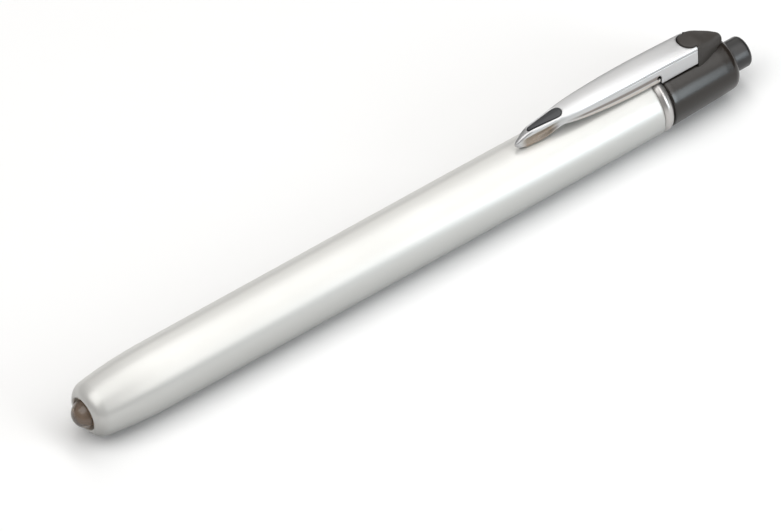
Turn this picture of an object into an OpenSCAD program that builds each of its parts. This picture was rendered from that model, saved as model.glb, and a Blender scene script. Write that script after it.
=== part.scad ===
/* [Cells and barrel] */
// Diameter of each round cell over its sleeve
cell_d = 10.3; // [9.8:0.1:12.4]
// Length of each cell from the tip of its pip to its base
cell_len = 44.5; // [36:0.5:54]
// Room around the cells inside the barrel, on each side
cell_room = 0.3; // [0.2:0.05:0.8]
// Wall of the barrel tube
barrel_wall = 0.55; // [0.45:0.05:1.2]
// How much the barrel's radius falls from its straight part to its tail end
tail_fall = 0.16; // [0.1:0.02:0.3]
// Length over which the tail end narrows
tail_fall_len = 42; // [30:1:50]

/* [Nose] */
// Length over which the nose narrows
nose_len = 15; // [12:0.5:18]
// How much the nose's radius falls before its shoulder
nose_fall = 1.3; // [1:0.05:1.6]
// Radius of the rounded shoulder at the front
shoulder_r = 3.1; // [2.5:0.1:3.3]
// Thickness of the front wall around the opening
nose_wall = 1.3; // [1.1:0.05:1.6]
// Diameter of the front opening
nose_hole_d = 6; // [5.6:0.1:6.4]

/* [Lamp] */
// Diameter of the lamp's clear dome and body
lamp_d = 5; // [4.4:0.1:5.4]
// Diameter of the lamp's rim
lamp_rim_d = 5.8; // [5.6:0.1:6.2]
// Length of the lamp from the tip of its dome to its base
lamp_len = 8.6; // [7.4:0.1:10]
// How far the dome stands out of the front opening
lamp_out = 1.7; // [1.2:0.05:2]
// Length of the legs between the lamp and its board
leg_len = 4.25; // [3.4:0.05:6]

/* [Tail ring and neck] */
// Length of the polished ring
ring_len = 2.1; // [1.6:0.1:2.8]
// How far the ring's crown stands below the barrel's straight part
ring_fall = 0.14; // [0.05:0.01:0.3]
// Length of the neck that screws into the barrel
neck_len = 8.2; // [7:0.1:10]
// Wall of the neck
neck_wall = 0.95; // [0.8:0.05:1.2]
// Room between the battery spring's two seats
spring_room = 8.35; // [7:0.05:12]

/* [Tail cap and button] */
// Length of the tail cap
cap_len = 14.8; // [13.8:0.1:18]
// How far the cap's front edge lies below the barrel's straight part
cap_fall = 0.45; // [0.3:0.05:0.6]
// How much the cap's radius falls over its length
cap_taper = 0.55; // [0.3:0.05:0.8]
// Radius of the cap's rounded rear edge
cap_edge_r = 1.6; // [1:0.1:2]
// Wall of the cap over the neck
cap_wall = 0.6; // [0.5:0.05:0.9]
// Diameter of the push button
button_d = 5.7; // [4.8:0.1:6.2]
// How far the button stands out of the cap
button_out = 3.9; // [3.2:0.1:5]
// How far the button travels
button_travel = 1.5; // [1.2:0.1:1.8]

/* [Pocket clip] */
// Length of the clip
clip_len = 37.2; // [31:0.1:45]
// Greatest width of the clip
clip_w = 4.9; // [4.4:0.1:5.9]
// Thickness of the clip's sheet
clip_sheet = 0.5; // [0.4:0.05:0.6]
// Height of the clip's folded edge over the barrel, at the top of its arch
clip_rise = 3.89; // [3.4:0.01:4.8]
// How much the clip's middle stands above its folded edges
clip_crown = 0.5; // [0.3:0.05:0.7]
// Radius of the clip's long arch
arch_r = 220; // [180:5:320]
// Depth of the folded edges along the arm
clip_edge = 1.4; // [1.1:0.05:1.7]
// Length of the deep flanges that hold the cap
flange_len = 7.8; // [6.5:0.1:9]
// Length of the black inlay near the tip
inlay_len = 7; // [6:0.1:7.6]
// Width of the inlay at its round end
inlay_w = 2.2; // [1.8:0.1:2.3]

/* [Hidden] */

// Sides of round pieces in the drawing, and steps of an arc in an outline
round_fn = 96;
arc_steps = 10;
// Overrun of every cut
over = 1;
// Slip between pieces that are pressed or stacked together
seat_gap = 0.02;
// Running clearance, each side, of what slides or turns
run_gap = 0.06;

// Barrel radii
bore_r = cell_d / 2 + cell_room;
barrel_r = bore_r + barrel_wall;
barrel_tail_r = barrel_r - tail_fall;
tail_edge_r = 0.3;

// Places along the axis, from the front face of the nose
gasket_t = 0.65;
gasket_end = nose_wall + seat_gap + gasket_t;
lamp_tip = -lamp_out;
lamp_base = lamp_tip + lamp_len;
lamp_rim_t = 1;
lamp_rim_front = lamp_base - lamp_rim_t;
board_front = lamp_base + leg_len;
board_t = 1;
stud_head_t = 0.6;
stud_face = board_front + board_t + stud_head_t;
front_cell_tip = stud_face + seat_gap;
rear_cell_tip = front_cell_tip + cell_len + seat_gap;
cells_end = rear_cell_tip + cell_len;
spring_start = cells_end + seat_gap;
seat_front = cells_end + spring_room;
seat_t = 0.4;
neck_lead = 0.35;
neck_front = seat_front - neck_lead;
barrel_len = neck_front + neck_len;
ring_end = barrel_len + seat_gap + ring_len;
cap_gap = 0.18;
cap_front = ring_end + cap_gap;
cap_end = cap_front + cap_len;
button_end = cap_end + button_out;
mid = (button_end + lamp_tip) / 2;
axis_z = barrel_r;

// Nose cavity
cavity_start_r = 3.6;
cavity_corner_u = 2.6;
cavity_corner_in = 1.6;
cavity_corner_r = barrel_r - cavity_corner_in;
cavity_mid_u = 6;
cavity_mid_in = 1.05;
cavity_mid_r = barrel_r - cavity_mid_in;
cavity_end_u = 12;

// Lamp inside
leg_t = 0.5;
leg_spread = 1.27;
leg_in = 3.9;
cup_r = 0.85;
cup_t = 0.8;
cup_depth = 0.35;
cup_from_tip = 4.2;
cup_front = lamp_tip + cup_from_tip;
phosphor_r = 0.6;
post_w = 0.7;
leg_tail = 0.4;

// Board stack
board_room = 0.55;
board_r = bore_r - board_room;
resistor_len = 1.6;
resistor_w = 0.8;
resistor_t = 0.5;
resistor_up = 1.5;
ground_t = 0.3;
ground_in_r = 3.4;
stud_head_r = 1.5;
stud_shank_r = 0.6;
stud_tail = 0.4;
retainer_in_r = 3.2;

// Cells
pip_r = 1.9;
pip_h = 0.8;
sleeve_t = 0.09;
can_r = cell_d / 2 - sleeve_t - seat_gap;
can_edge_r = 0.5;
sleeve_inset = 0.5;
cell_base_in = 0.9;
cell_base_r = can_r - cell_base_in;
cell_base_t = 0.35;
cell_seal_t = 0.6;

// Battery spring and its seat
batt_wire = 0.6;
batt_turns = 5;
spring_seat_r = bore_r - run_gap - neck_wall - seat_gap;
batt_inset = 0.9;
batt_r = spring_seat_r - batt_inset;

// Neck
neck_r = bore_r - run_gap;
neck_in_r = neck_r - neck_wall;
thread_relief = 0.2;
seal_w = 1.1;
seal_from_end = 0.5;
seal_depth = 0.42;
seal_in_r = neck_r - seal_depth;
seal_front = barrel_len - seal_from_end - seal_w;
ring_r = barrel_r - ring_fall;
ring_crown_r = 1.15;
spigot_len = 7;
spigot_r = barrel_r - cap_fall - cap_wall - seat_gap;

// Tail cap
cap_front_r = barrel_r - cap_fall;
cap_rear_r = cap_front_r - cap_taper;
cap_lip_r = 0.2;
spigot_room = 0.3;
cap_bore_len = spigot_len + spigot_room;
cap_back_wall = 1.7;
button_r = button_d / 2;
flange_w = 0.4;
flange_r = button_r + flange_w;
flange_t = 1.1;
flange_room = 0.1;
cap_cavity_r = flange_r + flange_room;

// Switch
housing_r = neck_in_r - seat_gap;
housing_wall = 0.85;
housing_front = seat_front + seat_t + seat_gap;
housing_front_t = 1;
cover_t = 1;
cover_room = 0.1;
cover_end = cap_front + cap_bore_len - cover_room;
cover_front = cover_end - cover_t;
terminal_r = 1;
terminal_head_r = 1.7;
terminal_head_t = 0.35;
terminal_tail = 1.2;
terminal_end = housing_front + housing_front_t + terminal_tail;
contact_t = 0.35;
contact_rise = 0.05;
bridge_front = terminal_end + contact_rise + button_travel;
side_in_r = 2;
side_front = terminal_end - contact_t;
plunger_r = 1.6;
plunger_in_button = 4;
spring_wire = 0.4;
spring_turns = 4;
spring_r = 2.35;

// Push button
button_edge_r = 0.75;
flange_rear = cap_end - cap_back_wall - seat_gap;
flange_front = flange_rear - flange_t;

// Clip, with its heights over the barrel's straight part
clip_over_cap = 7.3;
arch_from_end = 13.4;
clip_end = cap_front + clip_over_cap;
clip_tip = clip_end - clip_len;
arch_top = clip_end - arch_from_end;
edge_h = barrel_r + clip_rise;
crown_r = (clip_w * clip_w / 4 + clip_crown * clip_crown) / (2 * clip_crown);
slope_run = 2.8;
slope_low_rise = 1.35;
slope_high_rise = 3.75;
slope_low = barrel_r + slope_low_rise;
slope_high = barrel_r + slope_high_rise;
tip_gap = 0.08;
flange_lift = 0.3;
flange_low = barrel_r + flange_lift;
notch_w = 0.75;
notch_rise = 2.75;
notch_top = barrel_r + notch_rise;
socket_r = 2.05;
socket_back = 0.4;
// Half widths of the clip, as shares of its length and of half its greatest width
clip_plan_shares = [[0, 0.12], [0.012, 0.19], [0.035, 0.28], [0.062, 0.36], [0.13, 0.48], [0.18, 0.57],
    [0.22, 0.65], [0.27, 0.765], [0.34, 0.87], [0.44, 0.94], [0.53, 0.98], [0.63, 1], [0.73, 1],
    [0.84, 0.97], [0.94, 0.945], [1, 0.935]];
clip_end_half = clip_plan_shares[len(clip_plan_shares) - 1][1] * clip_w / 2;
// Lower edge of the clip near its tip: shares of its length and of the folded edge's height over the barrel
tip_edge_shares = [[0, 0.63], [0.02, 0.77], [0.045, 0.9], [0.07, 1.02], [0.115, 1.01], [0.147, 0.94],
    [0.176, 0.85], [0.218, 0.595], [0.249, 0.42]];

least_half = 0.05;

// Inlay
inlay_round_r = inlay_w / 2;
inlay_tip_r = 0.35;
inlay_from_tip = 2.65;
inlay_proud = 0.08;

// Boss under the clip, and the keeper behind it
boss_gap = 0.13;
boss_half_w = clip_end_half - clip_sheet - boss_gap;
boss_rise = 2.85;
boss_top = barrel_r + boss_rise;
boss_inset = 0.3;
lip_len = 2.2;
lip_in = 0.5;
lip_lift = 0.2;
lip_play = 0.45;
ledge_low = flange_low + clip_sheet + lip_lift;
keeper_gap = 0.05;
keeper_rear = 0.7;
keeper_front = clip_end + keeper_gap;
keeper_len = cap_len - clip_over_cap - keeper_gap - keeper_rear;
keeper_half_share = 0.95;
keeper_half_w = clip_w / 2 * keeper_half_share;
peg_r = 0.8;
peg_depth = 1.3;
peg_share = 0.44;
peg_u = keeper_front + peg_share * keeper_len;
keeper_high = 4.2;
edge_power = 8;
// Shares of the keeper: place along its length, half width, and height over the barrel's straight part
keeper_shares = [[0, 0.97, 0.976], [0.1, 0.95, 0.95], [0.18, 0.92, 0.917], [0.3, 0.86, 0.84],
    [0.44, 0.76, 0.726], [0.57, 0.62, 0.63], [0.7, 0.46, 0.524], [0.8, 0.31, 0.43], [0.88, 0.18, 0.345],
    [0.95, 0.08, 0.18], [0.985, 0.04, -0.19]];

// Places the children along the axis: their Z runs from the nose towards the tail
module along(u) {
    translate([u - mid, 0, axis_z]) rotate([0, 90, 0]) children();
}

// Turns an outline of [radius, place along the axis] points
module turned(outline) {
    along(0) rotate_extrude($fn = round_fn) polygon(outline);
}

// A plain disc or rod, and a ring
module rod(r, from, to) {
    along(from) cylinder(r = r, h = to - from, $fn = round_fn);
}

module ring(r_out, r_in, from, to) {
    turned([[r_in, from], [r_out, from], [r_out, to], [r_in, to]]);
}

// Points on an arc of radius r around [x, y], from angle a to angle b
function arc(x, y, r, a, b) =
    [for (i = [0:arc_steps]) let(t = a + (b - a) * i / arc_steps) [x + r * cos(t), y + r * sin(t)]];

// Extrudes an outline drawn in plan, [place along the axis, side], between two heights over the axis
module plan_cut(low, high) {
    translate([-mid, 0, axis_z + low]) linear_extrude(high - low) children();
}

// Extrudes an outline drawn from the side, [place along the axis, height over the axis], across the part
module side_cut(half) {
    translate([-mid, half, axis_z]) rotate([90, 0, 0]) linear_extrude(2 * half) children();
}

// Nose outline: a long arc that runs into the shoulder's arc, and that into the opening's lip
nose_arc_r = (nose_len * nose_len + nose_fall * nose_fall) / (2 * nose_fall);
nose_arc_x = barrel_r - nose_arc_r;
shoulder_x = nose_arc_x + sqrt(pow(nose_arc_r - shoulder_r, 2) - pow(nose_len - shoulder_r, 2));
shoulder_angle = atan2(shoulder_r - nose_len, shoulder_x - nose_arc_x);
nose_lip_r = 0.3;
nose_hole_r = nose_hole_d / 2;
lip_x = nose_hole_r + nose_lip_r;
lip_u = shoulder_r - sqrt(pow(shoulder_r - nose_lip_r, 2) - pow(lip_x - shoulder_x, 2));
lip_angle = atan2(lip_u - shoulder_r, lip_x - shoulder_x);

function barrel_outline() = concat(
    arc(lip_x, lip_u, nose_lip_r, 180, 360 + lip_angle),
    arc(shoulder_x, shoulder_r, shoulder_r, lip_angle, shoulder_angle),
    arc(nose_arc_x, nose_len, nose_arc_r, shoulder_angle, 0),
    [[barrel_r, barrel_len - tail_fall_len]],
    arc(barrel_tail_r - tail_edge_r, barrel_len - tail_edge_r, tail_edge_r, 0, 90),
    [[bore_r, barrel_len], [bore_r, cavity_end_u], [cavity_mid_r, cavity_mid_u],
        [cavity_corner_r, cavity_corner_u], [cavity_start_r, nose_wall], [nose_hole_r, nose_wall]]);

module barrel() {
    color("#c8c9c6") turned(barrel_outline());
}

module lens_gasket() {
    color("#262524") ring(cavity_start_r - seat_gap, lamp_d / 2 + seat_gap, nose_wall + seat_gap, gasket_end);
}

// The lamp's own metal: two legs, one with the reflector cup and one with the wire post
module leg(side, from, to) {
    along(from) translate([-leg_t / 2, side * leg_spread - leg_t / 2, 0]) cube([leg_t, leg_t, to - from]);
}

module cathode_form() {
    leg(-1, lamp_base - leg_in, board_front + board_t + leg_tail);
    along(lamp_base - leg_in) translate([-leg_t / 2, -leg_spread - leg_t / 2, 0])
        cube([leg_t, leg_spread + leg_t, leg_t]);
    difference() {
        rod(cup_r, cup_front, lamp_base - leg_in + leg_t / 2);
        rod(phosphor_r, cup_front - over, cup_front + cup_depth);
    }
}

module anode_form() {
    leg(1, cup_front + cup_t, board_front + board_t + leg_tail);
    along(lamp_base - leg_in) translate([-leg_t / 2, leg_spread - post_w / 2, 0])
        cube([leg_t, post_w, post_w]);
}

module lamp_dome() {
    body_r = lamp_d / 2;
    rim_r = lamp_rim_d / 2;
    color("#d9c9b4", 0.5) difference() {
        turned(concat([[0, lamp_base]], arc(0, lamp_tip + body_r, body_r, -90, 0),
            [[body_r, lamp_rim_front], [rim_r, lamp_rim_front], [rim_r, lamp_base]]));
        cathode_form();
        anode_form();
        rod(phosphor_r, cup_front, cup_front + cup_depth);
    }
}

module lamp_cathode() {
    color("#b9b6ad") cathode_form();
}

module lamp_anode() {
    color("#b9b6ad") anode_form();
}

module lamp_phosphor() {
    color("#e0c040") rod(phosphor_r - seat_gap, cup_front + seat_gap, cup_front + cup_depth - seat_gap);
}

// Black bush that fills the nose cavity around the lamp
module lamp_bush() {
    color("#2b2a29") turned([
        [lamp_d / 2 + seat_gap, gasket_end + seat_gap],
        [cavity_start_r - seat_gap, gasket_end + seat_gap],
        [cavity_corner_r - seat_gap, cavity_corner_u + seat_gap],
        [cavity_mid_r - seat_gap, cavity_mid_u],
        [cavity_mid_r - seat_gap, board_front - ground_t - seat_gap],
        [lamp_rim_d / 2 + seat_gap, board_front - ground_t - seat_gap],
        [lamp_rim_d / 2 + seat_gap, lamp_rim_front - seat_gap],
        [lamp_d / 2 + seat_gap, lamp_rim_front - seat_gap]]);
}

module resistor() {
    color("#3a3a40") along(board_front - resistor_t - seat_gap)
        translate([-resistor_up - resistor_w / 2, -resistor_len / 2, 0])
        cube([resistor_w, resistor_len, resistor_t]);
}

module ground_ring() {
    back = board_front - seat_gap / 2;
    color("#c9a24a") ring(cavity_mid_r, ground_in_r, back - ground_t, back);
}

// Holes for the lamp's legs, from one place along the axis to another
module leg_holes(from, to) {
    hole_w = leg_t + 2 * seat_gap;
    for (side = [-1, 1])
        along(from) translate([-hole_w / 2, side * leg_spread - hole_w / 2, 0])
            cube([hole_w, hole_w, to - from]);
}

module lamp_board() {
    board_back = board_front + board_t;
    color("#2f6b45") difference() {
        rod(board_r, board_front, board_back);
        rod(stud_shank_r + seat_gap, board_front - over, board_back + over);
        leg_holes(board_front - over, board_back + over);
    }
}

module positive_stud() {
    board_back = board_front + board_t;
    color("#c9a24a") difference() {
        union() {
            rod(stud_head_r, board_back, stud_face);
            rod(stud_shank_r, board_front - stud_tail, board_back);
        }
        leg_holes(board_back - over, board_back + leg_tail + seat_gap);
    }
}

module board_retainer() {
    color("#4a4744") ring(bore_r - seat_gap, retainer_in_r, board_front + board_t + seat_gap,
        front_cell_tip + pip_h - seat_gap);
}

// A round cell, drawn from the tip of its pip
module cell_can(tip) {
    shoulder = tip + pip_h;
    last = tip + cell_len;
    turned(concat([[0, last - cell_seal_t], [0, tip], [pip_r, tip], [pip_r, shoulder]],
        arc(can_r - can_edge_r, shoulder + can_edge_r, can_edge_r, -90, 0),
        [[can_r, last], [can_r - sleeve_inset, last], [can_r - sleeve_inset, last - cell_seal_t]]));
}

module cell_seal(tip) {
    last = tip + cell_len;
    ring(can_r - sleeve_inset - seat_gap, cell_base_r + seat_gap,
        last - cell_seal_t + seat_gap, last - seat_gap);
}

module cell_base(tip) {
    last = tip + cell_len;
    rod(cell_base_r, last - cell_base_t, last);
}

module cell_sleeve(tip) {
    ring(can_r + seat_gap + sleeve_t, can_r + seat_gap, tip + pip_h + can_edge_r, tip + cell_len - seat_gap);
}

module front_cell_can() {
    color("#b8babc") cell_can(front_cell_tip);
}

module front_cell_seal() {
    color("#3d5a80") cell_seal(front_cell_tip);
}

module front_cell_base() {
    color("#cfd1d2") cell_base(front_cell_tip);
}

module front_cell_sleeve() {
    color("#5b6b7a") cell_sleeve(front_cell_tip);
}

module rear_cell_can() {
    color("#b8babc") cell_can(rear_cell_tip);
}

module rear_cell_seal() {
    color("#3d5a80") cell_seal(rear_cell_tip);
}

module rear_cell_base() {
    color("#cfd1d2") cell_base(rear_cell_tip);
}

module rear_cell_sleeve() {
    color("#5b6b7a") cell_sleeve(rear_cell_tip);
}

// A wound spring as one tube: its ends run straight along the axis for one wire
rings_per_turn = 8;
wire_sides = 6;

function wound_path(r, wire, turns, from, to) = [
    for (i = [-1:turns * rings_per_turn + 1])
        let(last = turns * rings_per_turn,
            k = max(0, min(last, i)),
            a = 360 * k / rings_per_turn,
            climb = (to - from - 2 * wire) * k / last,
            u = i < 0 ? from : i > last ? to : from + wire + climb)
        [r * cos(a), r * sin(a), u]];

function wound_tangent(path, i) =
    let(a = path[max(0, i - 1)], b = path[min(len(path) - 1, i + 1)], d = b - a) d / norm(d);

function ring_points(path, i, wire) =
    let(c = path[i],
        out = [c[0], c[1], 0] / norm([c[0], c[1]]),
        raw = i == 0 || i == len(path) - 1 ? [0, 0, 1] : wound_tangent(path, i),
        flat = raw - (raw * out) * out,
        way = flat / norm(flat),
        side = cross(way, out))
    [for (s = [0:wire_sides - 1])
        let(t = 360 * s / wire_sides) c + wire / 2 * (cos(t) * out + sin(t) * side)];

module wound(r, wire, turns, from, to) {
    path = wound_path(r, wire, turns, from, to);
    points = [for (i = [0:len(path) - 1]) each ring_points(path, i, wire)];
    skin = [for (i = [0:len(path) - 2], s = [0:wire_sides - 1])
        let(a = i * wire_sides + s,
            b = i * wire_sides + (s + 1) % wire_sides)
        each [[a, a + wire_sides, b], [b, a + wire_sides, b + wire_sides]]];
    start = [for (s = [1:wire_sides - 2]) [0, s, s + 1]];
    base = (len(path) - 1) * wire_sides;
    finish = [for (s = [1:wire_sides - 2]) [base, base + s + 1, base + s]];
    along(0) polyhedron(points, concat(skin, start, finish), convexity = 10);
}

// Least room between the wires of two turns, measured on the path's points
function least_gap(path, wire) =
    let(last = len(path) - 1, apart = rings_per_turn / 2)
    min([for (i = [0:last - apart], j = [i + apart:last]) norm(path[i] - path[j])]) - wire;

batt_end = seat_front - seat_gap;
return_start = cover_end + seat_gap;
return_end = flange_front - seat_gap;
batt_path = wound_path(batt_r, batt_wire, batt_turns, spring_start, batt_end);
return_path = wound_path(spring_r, spring_wire, spring_turns, return_start, return_end);
echo(battery_spring_least_gap = least_gap(batt_path, batt_wire));
echo(return_spring_least_gap = least_gap(return_path, spring_wire));

module battery_spring() {
    color("#a9abac") wound(batt_r, batt_wire, batt_turns, spring_start, batt_end);
}

module return_spring() {
    color("#a9abac") wound(spring_r, spring_wire, spring_turns, return_start, return_end);
}

module spring_seat() {
    color("#c9a24a") rod(spring_seat_r, seat_front, seat_front + seat_t);
}

// Neck: threaded tube, polished ring and the spigot that carries the cap
module neck() {
    seal_back = seal_front + seal_w;
    ring_start = barrel_len + seat_gap;
    crown_mid = (ring_start + ring_end) / 2;
    crown_angle = asin(ring_len / 2 / ring_crown_r);
    color("#d8d8d6") turned(concat(
        [[neck_in_r, neck_front], [neck_r - thread_relief, neck_front],
            [neck_r, neck_front + thread_relief],
            [neck_r, seal_front], [seal_in_r, seal_front], [seal_in_r, seal_back], [neck_r, seal_back],
            [neck_r, ring_start]],
        arc(ring_r - ring_crown_r, crown_mid, ring_crown_r, -crown_angle, crown_angle),
        [[spigot_r, ring_end], [spigot_r, ring_end + spigot_len], [neck_in_r, ring_end + spigot_len]]));
}

module neck_seal() {
    color("#1f1e1d") ring(neck_r + run_gap / 2, seal_in_r + seat_gap,
        seal_front + seat_gap, seal_front + seal_w - seat_gap);
}

module switch_housing() {
    color("#e4e1d8") difference() {
        rod(housing_r, housing_front, cover_front - seat_gap);
        rod(housing_r - housing_wall, housing_front + housing_front_t, cover_front + over);
        rod(terminal_r + seat_gap, housing_front - over, cover_front);
        rod(terminal_head_r + seat_gap, housing_front - over, housing_front + terminal_head_t + seat_gap);
    }
}

module centre_terminal() {
    color("#c9a24a") {
        rod(terminal_head_r, housing_front, housing_front + terminal_head_t);
        rod(terminal_r, housing_front, terminal_end);
    }
}

module side_contact() {
    color("#c9a24a") ring(housing_r - housing_wall - seat_gap, side_in_r, side_front, terminal_end);
}

module bridge_contact() {
    color("#c9a24a") rod(housing_r - housing_wall - run_gap, bridge_front, bridge_front + contact_t);
}

module plunger() {
    color("#e4e1d8") rod(plunger_r, bridge_front + contact_t + seat_gap, flange_front + plunger_in_button);
}

module switch_cover() {
    color("#b8b4aa") ring(housing_r, plunger_r + run_gap, cover_front, cover_end);
}

// Outer form of the cap, which the keeper's seat repeats
function cap_outline(extra) = concat(
    [[0, cap_front], [cap_front_r - cap_lip_r + extra, cap_front]],
    arc(cap_front_r - cap_lip_r + extra, cap_front + cap_lip_r, cap_lip_r, -90, 0),
    arc(cap_rear_r - cap_edge_r + extra, cap_end - cap_edge_r, cap_edge_r, 0, 90),
    [[0, cap_end]]);

module tail_cap() {
    under_ledge = boss_half_w - lip_in - boss_gap;
    color("#3d3d3e") difference() {
        union() {
            turned(cap_outline(0));
            plan_cut(0, boss_top) translate([cap_front + boss_inset, -boss_half_w])
                square([clip_end - cap_front - boss_inset, 2 * boss_half_w]);
        }
        for (side = [-1, 1])
            plan_cut(flange_low - lip_lift, ledge_low)
                translate([clip_end - lip_len - lip_play, side * (clip_w / 2 + under_ledge) - clip_w / 2])
                square([lip_len + lip_play + over, clip_w]);
        rod(spigot_r + seat_gap, cap_front - over, cap_front + cap_bore_len);
        rod(cap_cavity_r, cap_front, cap_end - cap_back_wall);
        rod(button_r + run_gap, cap_front, cap_end + over);
        translate([peg_u - mid, 0, axis_z + cap_rear_r - peg_depth])
            cylinder(r = peg_r + seat_gap, h = peg_depth + over, $fn = round_fn);
    }
}

module push_button() {
    color("#38383a") difference() {
        turned(concat([[0, flange_front], [flange_r, flange_front], [flange_r, flange_rear],
            [button_r, flange_rear]],
            arc(button_r - button_edge_r, button_end - button_edge_r, button_edge_r, 0, 90),
            [[0, button_end]]));
        rod(plunger_r + seat_gap, flange_front - over, flange_front + plunger_in_button + seat_gap);
    }
}

// Crowned bar bent along the clip's arch; lift raises or lowers its top, deep its underside
module crowned_bar(lift, deep) {
    bar_span = clip_len + 2 * over;
    turn = 2 * asin(bar_span / arch_r);
    translate([arch_top - mid, 0, axis_z + edge_h - arch_r]) rotate([90, 0, 0]) rotate([0, 0, 90 - turn / 2])
        rotate_extrude(angle = turn, $fn = 8 * round_fn)
        translate([arch_r + clip_crown - crown_r, 0]) intersection() {
            circle(r = crown_r + lift, $fn = round_fn);
            translate([-deep, -clip_w]) square([2 * crown_r, 2 * clip_w]);
        }
}

// Half width of the clip at each of its places, less an inset
function clip_half(s, inset) = max(least_half, s[1] * clip_w / 2 - inset);
function clip_outline(inset) = concat(
    [for (s = clip_plan_shares) [clip_tip + s[0] * clip_len, clip_half(s, inset)]],
    [for (i = [len(clip_plan_shares) - 1:-1:0])
        let(s = clip_plan_shares[i]) [clip_tip + s[0] * clip_len, -clip_half(s, inset)]]);

// Side view of the space under the sloping tip; back moves it towards the tail
function slope_outline(back, end) = [
    [clip_tip + back, -back], [clip_tip + back, slope_low], [clip_tip + back + slope_run, slope_high],
    [clip_tip + back + 2 * slope_run, edge_h + 2 * clip_rise], [end, edge_h + 2 * clip_rise], [end, -back]];

// Everything below the clip's lower edge, seen from the side
arm_steps = 12;
function edge_height(u) = edge_h - (arch_r - sqrt(arch_r * arch_r - pow(u - arch_top, 2)));
function lower_edge(u, share) = edge_height(u) - share * (edge_height(u) - barrel_r);
function under_outline() =
    let(contact = barrel_r + tip_gap,
        tip_low = lower_edge(clip_tip, tip_edge_shares[0][1]),
        arm_start = clip_tip + tip_edge_shares[len(tip_edge_shares) - 1][0] * clip_len,
        flange_start = clip_end - flange_len)
    concat(
        [[clip_tip - over, -over], [clip_tip - over, tip_low]],
        [for (s = tip_edge_shares)
            let(u = clip_tip + s[0] * clip_len)
            [u, max(contact, lower_edge(u, s[1]))]],
        [for (i = [1:arm_steps])
            let(u = arm_start + (flange_start - notch_w - arm_start) * i / arm_steps)
            [u, edge_height(u) - clip_edge]],
        [[flange_start - notch_w, notch_top - notch_w / 2]],
        arc(flange_start - notch_w / 2, notch_top - notch_w / 2, notch_w / 2, 180, 0),
        [[flange_start, flange_low], [clip_end + over, flange_low], [clip_end + over, -over]]);

// Teardrop of the inlay, seen in plan
module inlay_plan(gap) {
    tip_u = clip_tip + inlay_from_tip;
    a = [tip_u + inlay_tip_r, inlay_tip_r];
    b = [tip_u + inlay_len - inlay_round_r, inlay_round_r];
    lean = asin((b[1] - a[1]) / (b[0] - a[0]));
    polygon(concat(arc(b[0], 0, b[1] + gap, -90 - lean, 90 + lean),
        arc(a[0], 0, a[1] + gap, 90 + lean, 270 - lean)));
}

// Lip turned in under the boss's ledge, on one side of the clip
module clip_lip(side) {
    plan_cut(flange_low, flange_low + clip_sheet)
        translate([clip_end - lip_len, side * (boss_half_w - lip_in)]) mirror([0, side < 0 ? 1 : 0])
        square([lip_len, clip_end_half - boss_half_w + lip_in]);
}

module clip() {
    far = edge_h + 2 * clip_rise;
    slope_angle = atan2(slope_high - slope_low, slope_run);
    color("#dcdee0") for (side = [-1, 1]) clip_lip(side);
    color("#dcdee0") difference() {
        intersection() {
            crowned_bar(0, 0);
            plan_cut(0, far) polygon(clip_outline(0));
            side_cut(clip_w) polygon(slope_outline(0, clip_end));
        }
        intersection() {
            crowned_bar(-clip_sheet, over);
            plan_cut(-over, far) polygon(clip_outline(clip_sheet));
            side_cut(clip_w) polygon(slope_outline(clip_sheet / sin(slope_angle), clip_end + over));
        }
        side_cut(clip_w) polygon(under_outline());
        plan_cut(0, far) translate([clip_end - socket_back, 0]) circle(r = socket_r, $fn = round_fn);
        plan_cut(0, far) inlay_plan(seat_gap);
    }
}

module clip_inlay() {
    color("#3a3a3c") difference() {
        intersection() {
            crowned_bar(inlay_proud, 0);
            plan_cut(0, edge_h + 2 * clip_rise) inlay_plan(0);
        }
        crowned_bar(-clip_sheet, over);
    }
}

// One crowned slice of the keeper
slice_t = 0.02;
module keeper_slice(s) {
    half = s[1] * keeper_half_w;
    top = barrel_r + keeper_high * s[2];
    translate([keeper_front + s[0] * keeper_len - mid, 0, axis_z])
        rotate([90, 0, 90]) linear_extrude(slice_t)
        polygon(concat([[-half, 0]],
            [for (i = [0:arc_steps]) let(y = 2 * i / arc_steps - 1)
                [half * y, top - clip_crown * s[1] * (y * y + pow(y, edge_power))]],
            [[half, 0]]));
}

module clip_keeper() {
    color("#4a4745") {
        difference() {
            hull() for (s = keeper_shares) keeper_slice(s);
            turned(cap_outline(seat_gap));
        }
        intersection() {
            crowned_bar(inlay_proud, 0);
            plan_cut(boss_top + seat_gap, edge_h + 2 * clip_rise) intersection() {
                translate([clip_end - socket_back, 0]) circle(r = socket_r - run_gap, $fn = round_fn);
                translate([clip_tip, -clip_w]) square([keeper_front + seat_gap - clip_tip, 2 * clip_w]);
            }
        }
        translate([peg_u - mid, 0, axis_z + cap_rear_r - peg_depth + seat_gap])
            cylinder(r = peg_r, h = peg_depth + clip_crown, $fn = round_fn);
    }
}

barrel();
lens_gasket();
lamp_dome();
lamp_cathode();
lamp_anode();
lamp_phosphor();
lamp_bush();
resistor();
ground_ring();
lamp_board();
positive_stud();
board_retainer();
front_cell_can();
front_cell_seal();
front_cell_base();
front_cell_sleeve();
rear_cell_can();
rear_cell_seal();
rear_cell_base();
rear_cell_sleeve();
battery_spring();
spring_seat();
neck();
neck_seal();
switch_housing();
centre_terminal();
side_contact();
bridge_contact();
plunger();
switch_cover();
return_spring();
tail_cap();
push_button();
clip();
clip_inlay();
clip_keeper();
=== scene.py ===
from math import acos, asin, atan2, ceil, cos, degrees, pi, radians, sin, sqrt, tan

import bmesh
import bpy
import numpy as np
from mathutils import Matrix, Vector
from mathutils.geometry import delaunay_2d_cdt
from mathutils.kdtree import KDTree
from numpy.linalg import norm


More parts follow.
